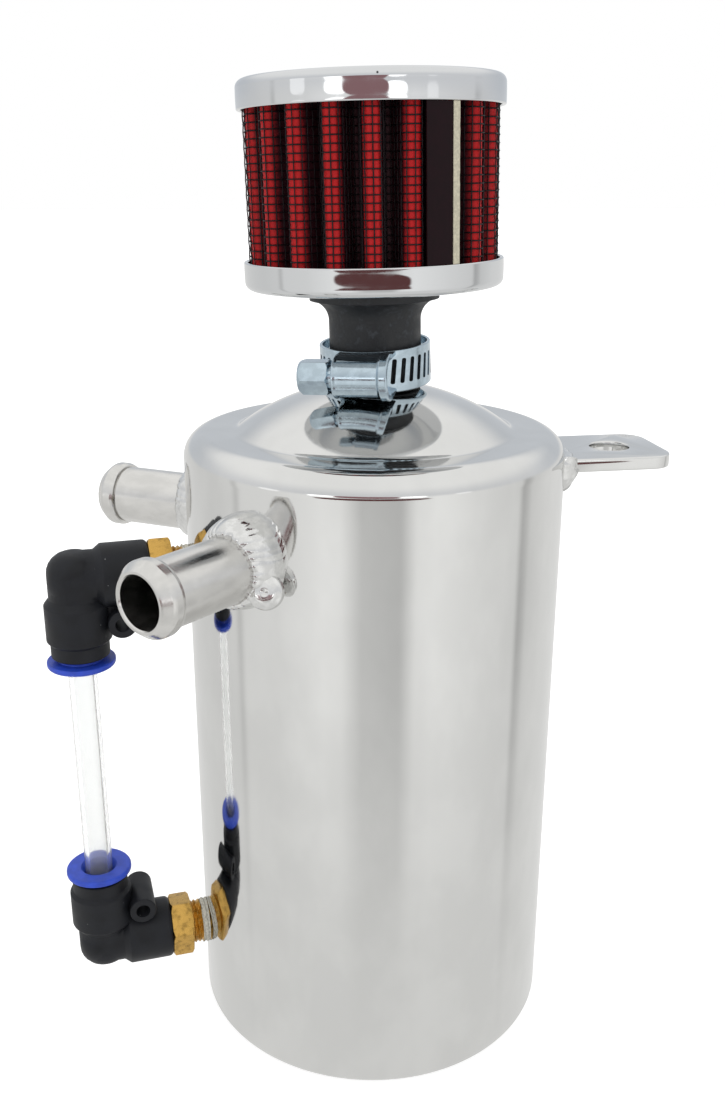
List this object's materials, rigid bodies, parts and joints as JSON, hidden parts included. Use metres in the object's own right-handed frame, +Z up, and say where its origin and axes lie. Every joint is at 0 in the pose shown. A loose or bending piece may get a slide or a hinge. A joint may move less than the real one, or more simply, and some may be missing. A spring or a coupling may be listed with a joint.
{
  "type": "oil catch can",
  "caption": "Round polished tank with two beaded hose tails, a clear sight gauge, a clamped pleated breather filter and a side mounting bracket.",
  "frame": {"origin": "centre of the flat base, on the surface the can stands on", "axes": "+Z up along the tank's middle line, +X towards the bracket, the sight gauge near -X"},
  "size_m": [0.1337, 0.092, 0.2046],
  "materials": {
    "polished_aluminium": "polished bright, with fine drawn lines",
    "weld_metal": "rippled weld, bright",
    "turned_aluminium": "satin, fine turning lines",
    "brass": "plain machined brass",
    "sealing_tape": "thin white thread tape, rubbed",
    "black_plastic": "matt moulded",
    "blue_plastic": "smooth moulded",
    "seal_rubber": "smooth black rubber",
    "spring_steel": "bright sheet",
    "clear_tube": "clear soft tube",
    "neck_rubber": "matt black rubber",
    "chrome": "bright chrome with a few nicks",
    "filter_cloth": "oiled red cotton gauze",
    "black_wire": "black coated wire mesh",
    "lap_cloth": "dark glued lap",
    "seam_edge": "pale cut edge",
    "zinc_plate": "bluish zinc plating"
  },
  "bodies": {
    "tank": {"tank_wall": "polished_aluminium", "tank_top": "polished_aluminium", "tank_base": "polished_aluminium", "breather_spigot": "turned_aluminium", "front_port": "turned_aluminium", "rear_port": "turned_aluminium", "front_port_weld": "weld_metal", "rear_port_weld": "weld_metal", "bracket": "polished_aluminium", "bracket_weld": "weld_metal", "upper_gauge_boss": "turned_aluminium", "lower_gauge_boss": "turned_aluminium", "upper_stud": "brass", "lower_stud": "brass", "upper_thread_tape": "sealing_tape", "lower_thread_tape": "sealing_tape", "upper_elbow": "black_plastic", "lower_elbow": "black_plastic", "upper_grab_ring": "spring_steel", "lower_grab_ring": "spring_steel", "upper_tube_seal": "seal_rubber", "lower_tube_seal": "seal_rubber", "upper_swivel_seal": "seal_rubber", "lower_swivel_seal": "seal_rubber", "sight_tube": "clear_tube", "filter_neck": "neck_rubber", "filter_base_cap": "chrome", "filter_top_cap": "chrome", "filter_top_potting": "seal_rubber", "filter_element": "filter_cloth", "filter_screen": "black_wire", "filter_inner_screen": "spring_steel", "filter_seam_lap": "lap_cloth", "filter_seam_strip": "seam_edge", "clamp_band": "zinc_plate", "clamp_housing": "zinc_plate"},
    "clamp_screw": {"clamp_screw": "zinc_plate"},
    "upper_release_ring": {"upper_release_ring": "blue_plastic"},
    "lower_release_ring": {"lower_release_ring": "blue_plastic"}
  },
  "joints": [
    {"name": "clamp_screw_turn", "type": "hinge", "parent": "tank", "child": "clamp_screw", "pos_m": [-0.0056, -0.01288, 0.14883], "axis": [-0.9157, 0.4005, -0.0348], "continuous": true},
    {"name": "upper_ring_press", "type": "slide", "parent": "tank", "child": "upper_release_ring", "axis": [0, 0, 1], "range_m": [0, 0.0008], "stiffness_N_per_m": 2000},
    {"name": "lower_ring_press", "type": "slide", "parent": "tank", "child": "lower_release_ring", "axis": [0, 0, -1], "range_m": [0, 0.0008], "stiffness_N_per_m": 2000}
  ]
}
